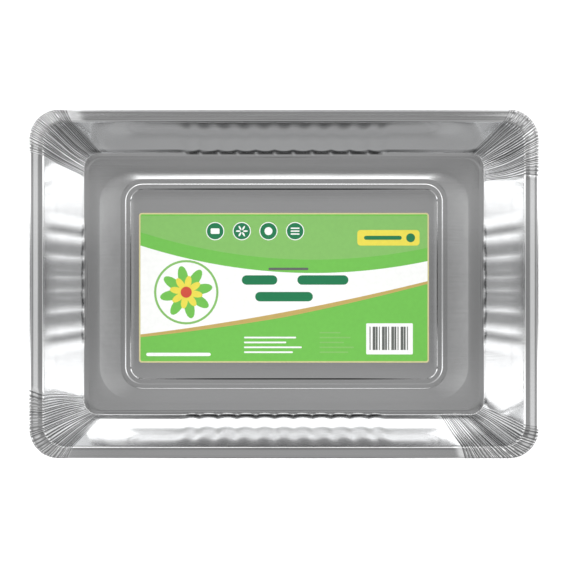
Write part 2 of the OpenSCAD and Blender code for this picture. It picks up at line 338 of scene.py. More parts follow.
def wall_swell(t):
    """A bow that is 0 at the lip and the foot and 1 a third of the way down."""
    return t * (1 - t) ** 2 * 27 / 4


def floor_section(levels):
    """From the flat floor to the middle of the panel. These rings are plain."""
    crest_run = FLOOR_BAND + PANEL_SLOPE

    def panel(run, z, rib=0.0):
        return floor_point(crest_run + run, z, PANEL_SLOPE_EXTRA, CREST_CORNER_R - run, rib)

    def slope(t):
        # It steepens towards its crest at the back, and is a plane on the other sides.
        rise = t ** SLOPE_CURVE
        run, back_run = PANEL_SLOPE * rise, PANEL_SLOPE * t ** BACK_SLOPE_CURVE
        return floor_point(
            FLOOR_BAND + (run + back_run) / 2,
            mix(levels["floor"], levels["terrace"], rise),
            PANEL_SLOPE_EXTRA * rise + (run - back_run) / 2,
            CREST_CORNER_R + PANEL_SLOPE * (1 - rise), CREST_RIB * rise, (run - back_run) / 2,
        )

    ridge_run = TERRACE + RIDGE_RUN
    step_run = ridge_run + RIDGE_WIDTH
    crest = panel(0.0, levels["terrace"], CREST_RIB)
    rib_foot = panel(CREST_RIB_RUN, levels["terrace"])
    ridge_foot = panel(TERRACE, levels["terrace"])
    ridge = panel(ridge_run, levels["ridge"])
    step_head = panel(step_run, levels["ridge"])
    step_foot = panel(step_run + STEP_RUN, levels["panel_edge"])
    crown = floor_point(
        crest_run + step_run + STEP_RUN + CROWN_SIDE, levels["panel"],
        PANEL_SLOPE_EXTRA - CROWN_SIDE + CROWN_END, step_foot[RADIUS] / 2,
    )
    rings = [floor_point(mix(FOOT_WIDTH, FLOOR_BAND, t), levels["floor"]) for t in (0.12, 0.7)]
    rings += [slope(t) for t in np.linspace(0, 0.97, SLOPE_RINGS)]
    line = [rings[-1], crest, rib_foot, ridge_foot, ridge, step_head, step_foot, crown]
    for k, (reach, hold) in enumerate(PANEL_BENDS):
        rings += bend(*line[k:k + 3], reach, 2, hold=hold)
    # Painted shade darkens the step's two bends, apart from the outermost rings.
    for ring in rings[-9:-1]:
        ring[SHADE] = 1.0
    # The panel's border levels off towards its flat middle.
    for t in (0.25, 0.5, 0.75, 1.0):
        rings.append(mix(step_foot, crown, t))
        rings[-1][HEIGHT] = mix(levels["panel"], levels["panel_edge"], (1 - t) ** 2)
    return rings


def outline_parts(point):
    """Half a ring's straight run along its sides and its ends, and the arc of a corner."""
    radius = point[RADIUS]
    side = RIM_LENGTH / 2 - point[INSET] - point[EXTRA] - radius
    end = RIM_WIDTH / 2 - point[INSET] - radius
    return side, end, radius * math.pi / 2


def trace_outline(point, run):
    """Places and outward directions on a ring, at lengths along it from its +x end."""
    side, end, arc = outline_parts(point)
    lengths = [end, arc, 2 * side, arc, 2 * end, arc, 2 * side, arc, end]
    knots = np.concatenate([[0], np.cumsum(lengths)])
    run = np.mod(run, knots[-1])
    quarter = math.pi / 2
    angle = np.interp(run, knots, [quarter * q for q in (0, 0, 1, 1, 2, 2, 3, 3, 4, 4)])
    core_x = np.interp(run, knots, [side * s for s in (1, 1, 1, -1, -1, -1, -1, 1, 1, 1)])
    core_y = np.interp(run, knots, [end * s for s in (0, 1, 1, 1, 1, -1, -1, -1, -1, 0)])
    out = np.stack([np.cos(angle), np.sin(angle)], axis=1)
    return np.stack([core_x, core_y + point[SHIFT]], axis=1) + point[RADIUS] * out, out


def outline_marks(point):
    """Lengths along a ring: the middle of each side, and both ends of each corner."""
    side, end, arc = outline_parts(point)
    quarter = end + arc + side
    middles = quarter * np.arange(4)
    starts = middles + np.array([end, side, end, side])
    return middles, starts, starts + arc, 4 * quarter


class CornerFolds:
    """The folds of one corner: lands that lean to one side, with tight creases between."""

    # Places across a pleat, as shares of its width, and how far up its land each is.
    ACROSS = np.array([0.0, 0.08, 0.17, 0.5, 0.83, 0.92])
    CREASE = np.array([0.0, 0.55, 1.0, 1.1, 1.0, 0.55])
    # How dark the painted crease shade makes each place, and the height that is left on the
    # wall's own surface.
    LINE = np.array([1.0, 1.0, 0.75, 0.05, 0.55, 1.0])
    MEAN = 0.45
    # The land's place across a pleat, and how much its lean changes along its way.
    LAND_START = 0.17
    LAND_WIDTH = 0.66
    TURN = 0.25

    def __init__(self, rng, pleats):
        self.width = rng.uniform(0.55, 1.5, pleats)
        self.sway = rng.uniform(0.05, 0.3, pleats)
        self.rate = rng.uniform(0.25, 0.8, pleats)
        self.phase = rng.uniform(0, 1, pleats)
        self.first = rng.uniform(0.25, 1.0, pleats)
        self.last = rng.uniform(0.25, 1.0, pleats)
        self.turn = rng.uniform(0.2, 0.6, pleats)
        self.tight = rng.uniform(0.6, 1.0, pleats)
        # The outer pleats of a corner are the lowest.
        fade = np.sin(np.linspace(0, math.pi, pleats + 2)[1:-1])
        self.height = np.minimum(1, 0.2 + 1.5 * fade)

    def at(self, wander):
        """Shares of the gather's length, pleat heights and painted crease shade of every
        station.
        """
        wave = np.sin(2 * math.pi * (self.rate * wander + self.phase))
        width = self.width * (1 + self.sway * wave)
        breaks = np.concatenate([[0], np.cumsum(width)]) / width.sum()
        share = breaks[:-1, None] + np.diff(breaks)[:, None] * self.ACROSS
        first = self.first + self.TURN * self.turn * wave
        last = self.last - self.TURN * self.turn * wave
        lean = np.clip((self.ACROSS - self.LAND_START) / self.LAND_WIDTH, 0, 1)
        height = mix(first[:, None], last[:, None], lean) * self.CREASE - self.MEAN
        line = self.LINE * (self.tight * np.minimum(1, 2 * self.height))[:, None]
        return (
            np.append(share.ravel(), 1.0),
            np.append((height * self.height[:, None]).ravel(), 0.0),
            np.append(line.ravel(), 0.0),
        )


def flute_wave(count, pitch):
    """Offsets from the middle of a side, and flute depths, across its flutes."""
    offset = np.arange(-count * FLUTE_STEPS / 2, count * FLUTE_STEPS / 2 + 0.5) / FLUTE_STEPS
    wave = np.abs(np.sin(math.pi * (offset + count / 2)))
    from_end = count / 2 - np.abs(offset)
    envelope = np.clip(from_end / FLUTE_FADE, 0, 1)
    return offset * pitch, wave * envelope


def fine_ring(point, folds):
    """Lengths along a ring for every station, with its pleat, flute and painted crease shade."""
    middles, starts, ends, total = outline_marks(point)
    runs, pleats, flutes, lines = [], [], [], []
    zones, gathers = [], []
    for q in range(4):
        at_end = q % 2 == 0
        count, pitch, deep = (
            (FLUTES_SHORT, FLUTE_PITCH_SHORT, SHORT_FLUTE_SHARE) if at_end
            else (FLUTES_LONG, FLUTE_PITCH_LONG, 1.0)
        )
        offset, depth = flute_wave(count, pitch)
        zones.append((middles[q] + offset, depth * deep))
        short = mix(FLOOR_GATHER_SHORT[q], RIM_GATHER_SHORT[q], point[REACH])
        long = mix(FLOOR_GATHER_LONG[q], RIM_GATHER_LONG[q], point[REACH])
        before, after = (short, long) if at_end else (long, short)
        share, height, line = folds[q].at(point[WANDER])
        gathers.append((mix(starts[q] - before, ends[q] + after, share), height, line))

    def add(run, pleat=0.0, flute=0.0, line=0.0):
        runs.append(run)
        for values, value in ((pleats, pleat), (flutes, flute), (lines, line)):
            values.append(np.zeros(len(run)) + value)

    def add_gap(start, end):
        # The outer two stations keep the shading of flutes and pleats to themselves.
        steps = np.linspace(start, end, GAP_STEPS + 1)[1:-1]
        add(np.concatenate([[start + GAP_HOLD], steps, [end - GAP_HOLD]]))

    for q in range(4):
        run, depth = zones[q]
        gather, height, line = gathers[q]
        add(run, flute=depth)
        add_gap(run[-1], gather[0])
        add(gather, pleat=height, line=line)
        following = zones[(q + 1) % 4][0][0] + (total if q == 3 else 0)
        add_gap(gather[-1], following)
    return [np.concatenate(values) for values in (runs, pleats, flutes, lines)]


def plain_ring(point, per_corner=10, per_side=8):
    """Lengths along a ring for its corner arcs and sides, with its share of the shade.

    The shade is full in the middle of each side and gone at the corners.
    """
    _, starts, ends, total = outline_marks(point)
    side = np.linspace(0, 1, per_side + 1)[1:-1]
    runs, shades = [], []
    for q in range(4):
        following = starts[(q + 1) % 4] + (total if q == 3 else 0)
        runs += [np.linspace(starts[q], ends[q], per_corner + 1), mix(ends[q], following, side)]
        # From an even corner on, the side is a long one.
        full = 1.0 if q % 2 == 0 else END_STEP_SHADE
        shades += [np.zeros(per_corner + 1), full * np.minimum(1, 5 * side * (1 - side))]
    return np.concatenate(runs), np.concatenate(shades)


def section_normals(rings):
    """The section's normals, as outward and upward parts, for each of its rings."""
    flat = np.array([[r[INSET], r[HEIGHT]] for r in rings])
    along = np.gradient(flat, axis=0)
    normals = np.stack([along[:, 1], along[:, 0]], axis=1)
    return normals / np.linalg.norm(normals, axis=1, keepdims=True)


def zip_loops(first, second, first_share, second_share):
    """Triangles between two closed loops of unlike counts, matched by their shares."""
    faces = []
    i = j = 0
    n, m = len(first), len(second)
    while i < n or j < m:
        next_i = first_share[i + 1] if i + 1 < n else first_share[0] + 1
        next_j = second_share[j + 1] if j + 1 < m else second_share[0] + 1
        if j >= m or (i < n and next_i <= next_j):
            faces.append((first[i], second[j % m], first[(i + 1) % n]))
            i += 1
        else:
            faces.append((first[i % n], second[j], second[(j + 1) % m]))
            j += 1
    return faces


def align_loops(a, share_a, b, share_b):
    """Starts both loops at the same place, with shares that only grow."""
    def ordered(loop, share):
        share = np.mod(share, 1)
        first = int(np.argmin(share))
        return np.roll(loop, -first).tolist(), np.roll(share, -first).tolist()

    a, share_a = ordered(a, share_a)
    b, share_b = ordered(b, share_b)
    return a, b, share_a, share_b


def ring_stations(ring, folds, sizes):
    """Lengths along a ring, how far its stations stand out, and how much painted shade darkens
    them.

    Without folds it is a plain ring of the floor.
    """
    if folds is None:
        run, shade = plain_ring(ring)
        return run, np.zeros(len(run)), ring[SHADE] * shade
    run, pleat, flute, line = fine_ring(ring, folds)
    full = 1 if ring[WANDER] <= 1 else FLANGE_CREASE_SHADE
    line = line * min(full, ring[PLEAT] / sizes.pleat_rim)
    # At the foot the painted shade only falls on what stands out as a flute.
    shade = ring[SHADE] * np.clip(3 * flute - 0.6, 0, 1)
    return run, pleat * ring[PLEAT] + flute * ring[FLUTE], np.maximum(line, shade)


def skin_faces(loops, shares, hub):
    """The faces of one skin, from its outermost loop to the point in its middle."""
    faces = []
    for k in range(len(loops) - 1):
        a, b = loops[k], loops[k + 1]
        if len(a) == len(b):
            faces += np.stack([a, b, np.roll(b, -1), np.roll(a, -1)], axis=1).tolist()
        else:
            faces += zip_loops(*align_loops(a, shares[k], b, shares[k + 1]))
    last = loops[-1].tolist()
    return faces + [(i, hub, j) for i, j in zip(last, last[1:] + last[:1])]


def pan_mesh(sizes):
    """The two skins of the foil, closed at the bead's free end and over the panel."""
    levels = pan_levels(sizes.foil)
    fine, plain = wall_section(sizes, levels), floor_section(levels)
    rings = fine + plain
    normals = section_normals(rings)
    rng = np.random.default_rng(sizes.seed)
    folds = [CornerFolds(rng, sizes.pleats) for _ in range(4)]
    points, loops, shares, painted_shades = [], [], [], []
    start = 0
    # The outside skin takes a smaller share of the painted shade.
    for skin, shading in ((0.0, 1.0), (-sizes.foil, OUTSIDE_SHADE)):
        for k, ring in enumerate(rings):
            run, lift, dark = ring_stations(ring, folds if k < len(fine) else None, sizes)
            lift = lift + skin
            place, out = trace_outline(ring, run)
            flat = place + out * (normals[k, 0] * lift)[:, None]
            z = ring[HEIGHT] + ring[RIB] * out[:, 1] ** 2 + normals[k, 1] * lift
            points.append(np.column_stack([flat, z]))
            painted_shades.append(dark * shading)
            loops.append(np.arange(start, start + len(run)))
            shares.append(np.arctan2(place[:, 1], place[:, 0]) / (2 * math.pi))
            start += len(run)
    points.append(np.array([[0, 0, levels["panel"]], [0, 0, levels["panel"] - sizes.foil]]))
    painted_shades.append(np.zeros(2))
    count = len(rings)
    inside = skin_faces(loops[:count], shares[:count], start)
    outside = skin_faces(loops[count:], shares[count:], start + 1)
    a, b = loops[0], loops[count]
    edge = np.stack([b, np.roll(b, -1), np.roll(a, -1), a], axis=1).tolist()
    faces = [face[::-1] for face in inside] + outside + edge
    return np.concatenate(points), faces, np.concatenate(painted_shades)


def make_object(name, points, faces, materials, smooth=True, face_materials=None):
    mesh = bpy.data.meshes.new(name)
    mesh.from_pydata((np.asarray(points) * MM).tolist(), [], faces)
    mesh.validate()
    for material in materials:
        mesh.materials.append(material)
    if face_materials is not None:
        mesh.polygons.foreach_set("material_index", face_materials)
    mesh.polygons.foreach_set("use_smooth", [smooth] * len(mesh.polygons))
    mesh.update()
    piece = bpy.data.objects.new(name, mesh)
    bpy.context.scene.collection.objects.link(piece)
    return piece


# Materials

# The attribute that holds how much painted shade darkens a point of the foil, and the
# share of the foil's colour that is left at the darkest.
PAINTED_SHADE_ATTRIBUTE = "fold_line"
DARKEST_PAINTED_SHADE = 0.02
# Shares of a print's colour between which its mottle goes.
PRINT_MOTTLE = (0.93, 1.04)


def new_material(name):
    material = bpy.data.materials.new(name)
    material.use_nodes = True
    nodes = material.node_tree.nodes
    return material, nodes, material.node_tree.links, nodes["Principled BSDF"]


def set_inputs(node, **values):
    for name, value in values.items():
        node.inputs[name.replace("_", " ")].default_value = value
    return node


def new_group(name, inputs, outputs):
    group = bpy.data.node_groups.new(name, "ShaderNodeTree")
    for label, kind, value in inputs:
        socket = group.interface.new_socket(label, in_out="INPUT", socket_type=kind)
        if value is not None:
            socket.default_value = value
    for label, kind in outputs:
        group.interface.new_socket(label, in_out="OUTPUT", socket_type=kind)
    nodes = group.nodes
    return group, nodes, group.links, nodes.new("NodeGroupInput"), nodes.new("NodeGroupOutput")


def math_node(nodes, links, operation, *values):
    node = nodes.new("ShaderNodeMath")
    node.operation = operation
    for socket, value in zip(node.inputs, values):
        if isinstance(value, (int, float)):
            socket.default_value = value
        else:
            links.new(value, socket)
    return node.outputs[0]


def crinkle_group():
    """Fine rolling lines and soft dents, as one height and one mask."""
    group, nodes, links, given, result = new_group(
        "Foil Crinkle",
        [("Vector", "NodeSocketVector", None), ("Line Scale", "NodeSocketFloat", 900.0),
         ("Dent Scale", "NodeSocketFloat", 22.0), ("Dent Share", "NodeSocketFloat", 0.9)],
        [("Height", "NodeSocketFloat"), ("Mask", "NodeSocketFloat")],
    )
    # The rolling lines run along the pan.
    stretch = nodes.new("ShaderNodeMapping")
    stretch.inputs["Scale"].default_value = (0.012, 1.0, 1.0)
    links.new(given.outputs["Vector"], stretch.inputs["Vector"])
    lines = set_inputs(nodes.new("ShaderNodeTexNoise"), Detail=4.0, Roughness=0.6)
    links.new(stretch.outputs["Vector"], lines.inputs["Vector"])
    links.new(given.outputs["Line Scale"], lines.inputs["Scale"])
    dents = set_inputs(nodes.new("ShaderNodeTexNoise"), Detail=3.0, Roughness=0.45)
    links.new(given.outputs["Vector"], dents.inputs["Vector"])
    links.new(given.outputs["Dent Scale"], dents.inputs["Scale"])
    height = nodes.new("ShaderNodeMix")
    links.new(given.outputs["Dent Share"], height.inputs["Factor"])
    links.new(lines.outputs[0], height.inputs["A"])
    links.new(dents.outputs[0], height.inputs["B"])
    links.new(height.outputs["Result"], result.inputs["Height"])
    links.new(lines.outputs[0], result.inputs["Mask"])
    return group


def foil_material(colours):
    material, nodes, links, shader = new_material("Foil")
    set_inputs(shader, Metallic=1.0)
    # Painted shade in the base colour: little light leaves the tight creases between two
    # pleats, the foot of the wall and the step round the panel.
    fold = nodes.new("ShaderNodeAttribute")
    fold.attribute_name = PAINTED_SHADE_ATTRIBUTE
    painted_shade_mix = nodes.new("ShaderNodeMix")
    painted_shade_mix.data_type = "RGBA"
    painted_shade_mix.inputs["A"].default_value = (*colours.foil, 1.0)
    painted_shade_mix.inputs["B"].default_value = (*(DARKEST_PAINTED_SHADE * c for c in colours.foil), 1.0)
    links.new(fold.outputs["Fac"], painted_shade_mix.inputs["Factor"])
    links.new(painted_shade_mix.outputs["Result"], shader.inputs["Base Color"])
    place = nodes.new("ShaderNodeTexCoord")
    crinkle = nodes.new("ShaderNodeGroup")
    crinkle.node_tree = crinkle_group()
    links.new(place.outputs["Object"], crinkle.inputs["Vector"])
    rough = nodes.new("ShaderNodeMapRange")
    set_inputs(rough, To_Min=0.1, To_Max=0.18)
    links.new(crinkle.outputs["Mask"], rough.inputs["Value"])
    links.new(rough.outputs["Result"], shader.inputs["Roughness"])
    bump = set_inputs(nodes.new("ShaderNodeBump"), Strength=0.25, Distance=0.0006)
    links.new(crinkle.outputs["Height"], bump.inputs["Height"])
    links.new(bump.outputs["Normal"], shader.inputs["Normal"])
    return material


def print_material(name, colour):
    material, nodes, links, shader = new_material(name)
    set_inputs(shader, Roughness=0.34, Coat_Weight=0.25, Coat_Roughness=0.2)
    place = nodes.new("ShaderNodeTexCoord")
    mottle = set_inputs(nodes.new("ShaderNodeTexNoise"), Scale=260.0, Detail=3.0)
    links.new(place.outputs["Object"], mottle.inputs["Vector"])
    shade = nodes.new("ShaderNodeMix")
    shade.data_type = "RGBA"
    for socket, share in zip("AB", PRINT_MOTTLE):
        shade.inputs[socket].default_value = (*(min(1.0, share * c) for c in colour), 1.0)
    links.new(mottle.outputs[0], shade.inputs["Factor"])
    links.new(shade.outputs["Result"], shader.inputs["Base Color"])
    bump = set_inputs(nodes.new("ShaderNodeBump"), Strength=0.08, Distance=0.0001)
    links.new(mottle.outputs[0], bump.inputs["Height"])
    links.new(bump.outputs["Normal"], shader.inputs["Normal"])
    return material


# Label

def rounded_rectangle(x0, y0, x1, y1, radius, steps=8):
    """Outline of a rounded rectangle, anticlockwise."""
    outline = []
    corners = ((x1, y1, 0), (x0, y1, 90), (x0, y0, 180), (x1, y0, 270))
    for x, y, start in corners:
        cx = x - math.copysign(radius, x - (x0 + x1) / 2)
        cy = y - math.copysign(radius, y - (y0 + y1) / 2)
        for i in range(steps + 1):
            angle = math.radians(start + 90 * i / steps)
            outline.append((cx + radius * math.cos(angle), cy + radius * math.sin(angle)))
    return outline


def disc(x, y, radius, steps=48):
    """Outline of a round field, anticlockwise."""
    return [
        (x + radius * math.cos(2 * math.pi * i / steps),
         y + radius * math.sin(2 * math.pi * i / steps))
        for i in range(steps)
    ]


def band(lower, upper, x0, x1, steps=40):
    """The field between two curves, which give a height for each place along x."""
    xs = np.linspace(x0, x1, steps + 1)
    return [(x, lower(x)) for x in xs] + [(x, upper(x)) for x in xs[::-1]]


class PrintedSheet:
    """Collects flat printed fields, each a thin closed slab on top of the sheet.

    A field of a higher layer is thicker, so it hides what it covers.
    """

    INK = 0.02

    def __init__(self, low, high):
        (self.x0, self.y0, self.base_z), (self.x1, self.y1, self.top_z) = low, high
        self.cx, self.cy = (self.x0 + self.x1) / 2, (self.y0 + self.y1) / 2
        self.points, self.faces, self.inks = [], [], []

    def box(self, x0, y0, x1, y1, radius, ink, layer):
        """A field with round corners, placed from the label's centre."""
        outline = rounded_rectangle(
            self.cx + x0, self.cy + y0, self.cx + x1, self.cy + y1, radius
        )
        self.field(outline, ink, layer)

    def pill(self, x, y, length, height, ink, layer):
        """A bar with round ends, placed from the label's centre by its left end."""
        x, y, radius = self.cx + x, self.cy + y, height / 2
        outline = rounded_rectangle(x, y - radius, x + length, y + radius, radius, 4)
        self.field(outline, ink, layer)

    def disc(self, x, y, radius, ink, layer):
        self.field(disc(self.cx + x, self.cy + y, radius), ink, layer)

    def petals(self, x, y, reach, width, count, turn, ink, layer):
        for outline in petals(self.cx + x, self.cy + y, reach, width, count, turn):
            self.field(outline, ink, layer)

    def slab(self, outline, low, high, ink):
        start, count = len(self.points), len(outline)
        self.points += [(x, y, low) for x, y in outline]
        self.points += [(x, y, high) for x, y in outline]
        faces = [tuple(start + i for i in reversed(range(count)))]
        faces.append(tuple(start + count + i for i in range(count)))
        for i in range(count):
            j = (i + 1) % count
            faces.append((start + i, start + j, start + count + j, start + count + i))
        self.faces += faces
        self.inks += [ink] * len(faces)

    def field(self, outline, ink, layer):
        self.slab(outline, self.top_z, self.top_z + layer * self.INK, ink)


LABEL_CORNER_R = 2.5
LABEL_BORDER = 1.3
INKS = ("ground", "deep", "pale", "white", "gold", "yellow", "border", "grey", "accent")
GROUND, DEEP, PALE, WHITE, GOLD, YELLOW, BORDER, GREY, ACCENT = range(len(INKS))
# Places on the label, from its centre: the ring of leaves, the row of round marks and
# the foot of the small print.
LEAVES_X, LEAVES_Y = -88, -4
MARK_X, MARK_Y, MARK_PITCH = -62, 51, 24
SMALL_PRINT_Y, SMALL_PRINT_PITCH = -58, 4.4


def petals(x, y, reach, width, count, turn, steps=16):
    """Outlines of long leaves set in a ring round a point."""
    outlines = []
    for k in range(count):
        angle = turn + 2 * math.pi * k / count
        out, side = (math.cos(angle), math.sin(angle)), (-math.sin(angle), math.cos(angle))
        outline = []
        for i in range(steps):
            turned = 2 * math.pi * i / steps
            along = reach * (0.6 + 0.4 * math.cos(turned))
            across = width / 2 * math.sin(turned)
            outline.append((x + along * out[0] + across * side[0],
                            y + along * out[1] + across * side[1]))
        outlines.append(outline)
    return outlines


def print_fields(sheet):
    """The border, the ground, a lighter field above, a white sweep and a gold line."""
    x0, x1 = sheet.x0 + LABEL_BORDER, sheet.x1 - LABEL_BORDER
    y0, y1 = sheet.y0 + LABEL_BORDER, sheet.y1 - LABEL_BORDER
    span = x1 - x0
    edge = rounded_rectangle(sheet.x0, sheet.y0, sheet.x1, sheet.y1, LABEL_CORNER_R)
    sheet.slab(edge, sheet.base_z, sheet.top_z, BORDER)
    sheet.field(rounded_rectangle(x0, y0, x1, y1, 1.6), GROUND, 1)

    def curve(start, middle, end):
        """A height along the label that runs smoothly through three places."""
        def height(x):
            t = (x - x0) / span
            rise = start * (1 - t) ** 2 + (4 * middle - start - end) * t * (1 - t) + end * t * t
            return sheet.cy + rise
        return height

    high = curve(38, 14, 24)
    low = curve(-42, -22, 6)

    def gold_edge(x):
        return low(x) - 4.5 + 4 * abs(x - sheet.cx) / span

    sheet.field(band(lambda x: high(x) + 12, lambda x: y1 - 1.5, x0, x1), PALE, 2)
    sheet.field(band(low, high, x0, x1), WHITE, 3)
    sheet.field(band(gold_edge, low, x0, x1), GOLD, 4)


def print_title(sheet):
    """Broad bars where a title would be, and a thin one above them."""
    for x, y, length in ((-38, 7, 32), (12, 7, 46), (-26, -8, 52)):
        sheet.pill(x, y, length, 8.5, DEEP, 5)
    sheet.pill(-14, 17, 36, 2.2, GREY, 5)


def print_leaves(sheet):
    """A ring of leaves on a round field."""
    place = LEAVES_X, LEAVES_Y
    sheet.disc(*place, 29, PALE, 5)
    sheet.disc(*place, 27, WHITE, 6)
    sheet.petals(*place, 24, 9, 8, 0.2, GROUND, 7)
    sheet.petals(*place, 15, 6, 8, 0.6, YELLOW, 8)
    sheet.disc(*place, 5, ACCENT, 9)


def print_marks(sheet):
    """Four round marks along the top edge, each with a different sign."""
    block, star, dot, bars = (MARK_X + MARK_PITCH * i for i in range(4))
    for x in (block, star, dot, bars):
        sheet.disc(x, MARK_Y, 8.2, WHITE, 5)
        sheet.disc(x, MARK_Y, 7.4, DEEP, 6)
    sheet.box(block - 4, MARK_Y - 2.5, block + 4, MARK_Y + 2.5, 1, WHITE, 7)
    sheet.petals(star, MARK_Y, 5.4, 1.6, 6, 0.0, WHITE, 7)
    sheet.disc(dot, MARK_Y, 3.6, WHITE, 7)
    for i in (-1, 0, 1):
        sheet.pill(bars - 4, MARK_Y + 2.6 * i, 8, 1.2, WHITE, 7)


def print_banner(sheet):
    """A yellow banner with a short bar and a dot on it."""
    sheet.box(66, 38, 122, 52, 3, YELLOW, 5)
    sheet.pill(72, 45, 34, 3.6, DEEP, 6)
    sheet.disc(114, 45, 4, DEEP, 6)


def print_code(sheet):
    """A white block of thin bars of three widths."""
    sheet.box(74, -60, 116, -32, 1, WHITE, 5)
    y0, y1 = sheet.cy - 56, sheet.cy - 35
    for i in range(13):
        x0 = sheet.cx + 77 + 2.8 * i
        x1 = x0 + 0.9 + 0.8 * (5 * i % 3)
        sheet.field([(x0, y0), (x1, y0), (x1, y1), (x0, y1)], GREY, 6)


def print_lines(sheet):
    """Short bars as lines of small print."""
    for i, length in enumerate((44, 52, 38, 47)):
        sheet.pill(-36, SMALL_PRINT_Y + SMALL_PRINT_PITCH * i, length, 1.5, WHITE, 5)
    for i, length in enumerate((26, 31, 22, 28, 19)):
        sheet.pill(32, SMALL_PRINT_Y + SMALL_PRINT_PITCH * i, length, 1.3, PALE, 5)
    sheet.pill(-124, -60, 58, 3, WHITE, 5)


def label_piece(colours):
    sheet = PrintedSheet(*([v / MM for v in corner] for corner in (LABEL_LOW, LABEL_HIGH)))
    for draw in (print_fields, print_title, print_leaves, print_marks, print_banner,
                 print_code, print_lines):
        draw(sheet)
    inks = [print_material("Ink " + name, getattr(colours, name)) for name in INKS]
    piece = make_object("printed_label", sheet.points, sheet.faces, inks, False, sheet.inks)
    # The photo's foil shows no mirror image of the label.
    piece.visible_glossy = False
    return piece


# Studio

CAMERA_HEIGHT = 0.589
CAMERA_LENS = 41.4
CAMERA_SENSOR = 36.0
FLOOR_SIZE = 6.0
FLOOR_GLOW = 0.42
# Strengths of the tent's light: overhead, of its panels, and of a side panel's gap
# higher up and low down.
TENT_GLOW = 0.285
PANEL_LIGHT = 2.0
GAP_LIGHT = 0.17
LOW_GAP_LIGHT = 0.03
# Strength towards the horizon at the front and the back, and what the ends add to it.
HORIZON_LIGHT = 0.07
HORIZON_END_LIGHT = 0.33
# Strength at the diagonals, at the front and at the back.
FRONT_DIAGONAL = 0.6
BACK_DIAGONAL = 1.1
# Size of the spot that the camera hides, as a share of the distance.
CAMERA_SPOT = 0.05
# A soft lamp that lights the label and the floor.
LAMP_SIZE = 1.2
LAMP_HEIGHT = 1.5
LAMP_POWER = 12.0


def smooth_step(nodes, links, value, start, end):
    node = nodes.new("ShaderNodeMapRange")
    node.interpolation_type = "SMOOTHSTEP"
    set_inputs(node, From_Min=start, From_Max=end)
    links.new(value, node.inputs["Value"])
    return node.outputs["Result"]


def studio_world():
    """A grey tent with bright panels at the left, the right and the back."""
    world = bpy.data.worlds.new("Studio")
    bpy.context.scene.world = world
    world.use_nodes = True
    nodes, links = world.node_tree.nodes, world.node_tree.links
    nodes.clear()

    def calculate(operation, *values):
        return math_node(nodes, links, operation, *values)

    def step(value, start, end):
        return smooth_step(nodes, links, value, start, end)

    def blend(share, first, second):
        """From the first value, where the share is 0, to the second."""
        change = calculate("SUBTRACT", second, first)
        return calculate("MULTIPLY_ADD", share, change, first)

    def between(value, *edges):
        """1 between the inner two of four edges, and 0 outside the outer two."""
        return calculate("MULTIPLY", step(value, edges[0], edges[1]),
                         step(value, edges[3], edges[2]))

    place = nodes.new("ShaderNodeTexCoord")
    split = nodes.new("ShaderNodeSeparateXYZ")
    links.new(place.outputs["Generated"], split.inputs[0])
    x, y, z = split.outputs
    wide, deep = calculate("ABSOLUTE", x), calculate("ABSOLUTE", y)
    # All edges are parts of a unit direction. Grey overhead, brighter towards the front
    # and in a band over the back, a little darker in a band over each end, and much
    # brighter beyond that.
    glow = TENT_GLOW
    for area, change in (
        (step(y, -0.06, -0.18), 0.12),
        (step(y, -0.35, -0.6), 0.09),
        (between(y, 0.05, 0.1, 0.15, 0.17), 0.15),
        (between(wide, 0.19, 0.24, 0.28, 0.33), -0.04),
        (step(wide, 0.32, 0.39), 0.52),
    ):
        glow = calculate("MULTIPLY_ADD", area, change, glow)
    # Darker towards the horizon at the front and the back, and bright at the diagonals.
    horizon = calculate("MULTIPLY_ADD", step(wide, 0.13, 0.26), HORIZON_END_LIGHT, HORIZON_LIGHT)
    glow = blend(step(deep, 0.8, 0.88), glow, horizon)
    glow = blend(step(y, -0.7, -0.8), glow, horizon)
    diagonal = calculate("MULTIPLY", step(wide, 0.24, 0.34), step(deep, 0.22, 0.32))
    diagonal = calculate("MULTIPLY", diagonal, step(z, 0.88, 0.78))
    glow = blend(diagonal, glow, blend(step(y, -0.1, 0.1), FRONT_DIAGONAL, BACK_DIAGONAL))
    # The camera hides a small part of the tent.
    across, along = (calculate("MULTIPLY", part, 1 / CAMERA_SPOT) for part in (x, y))
    off_axis = calculate("ADD", calculate("MULTIPLY", across, across),
                         calculate("MULTIPLY", along, along))
    glow = calculate("MULTIPLY", glow, step(calculate("SQRT", off_axis), 0.4, 1.2))
    # A wide panel at the back, which comes further forward towards its ends.
    forward = calculate("MAXIMUM", calculate("MULTIPLY_ADD", wide, 0.8, -0.176), 0.0)
    back = step(calculate("ADD", y, forward), 0.37, 0.48)
    back = calculate("MULTIPLY", back, step(y, 0.7, 0.64))
    back = calculate("MULTIPLY", back, step(wide, 0.44, 0.36))
    glow = blend(back, glow, PANEL_LIGHT)
    # A panel at each side, with a grey gap in its middle that is darker low down.
    gap = blend(step(wide, 0.83, 0.9), GAP_LIGHT, LOW_GAP_LIGHT)
    gap = blend(step(deep, 0.05, 0.13), gap, 1.0)
    side = calculate("MULTIPLY", step(wide, 0.5, 0.58), step(deep, 0.38, 0.26))
    glow = blend(side, glow, calculate("MULTIPLY", gap, PANEL_LIGHT))
    light = nodes.new("ShaderNodeBackground")
    links.new(glow, light.inputs["Strength"])
    backdrop = nodes.new("ShaderNodeBackground")
    path = nodes.new("ShaderNodeLightPath")
    choose = nodes.new("ShaderNodeMixShader")
    links.new(path.outputs["Is Camera Ray"], choose.inputs["Fac"])
    links.new(light.outputs[0], choose.inputs[1])
    links.new(backdrop.outputs[0], choose.inputs[2])
    output = nodes.new("ShaderNodeOutputWorld")
    links.new(choose.outputs[0], output.inputs["Surface"])


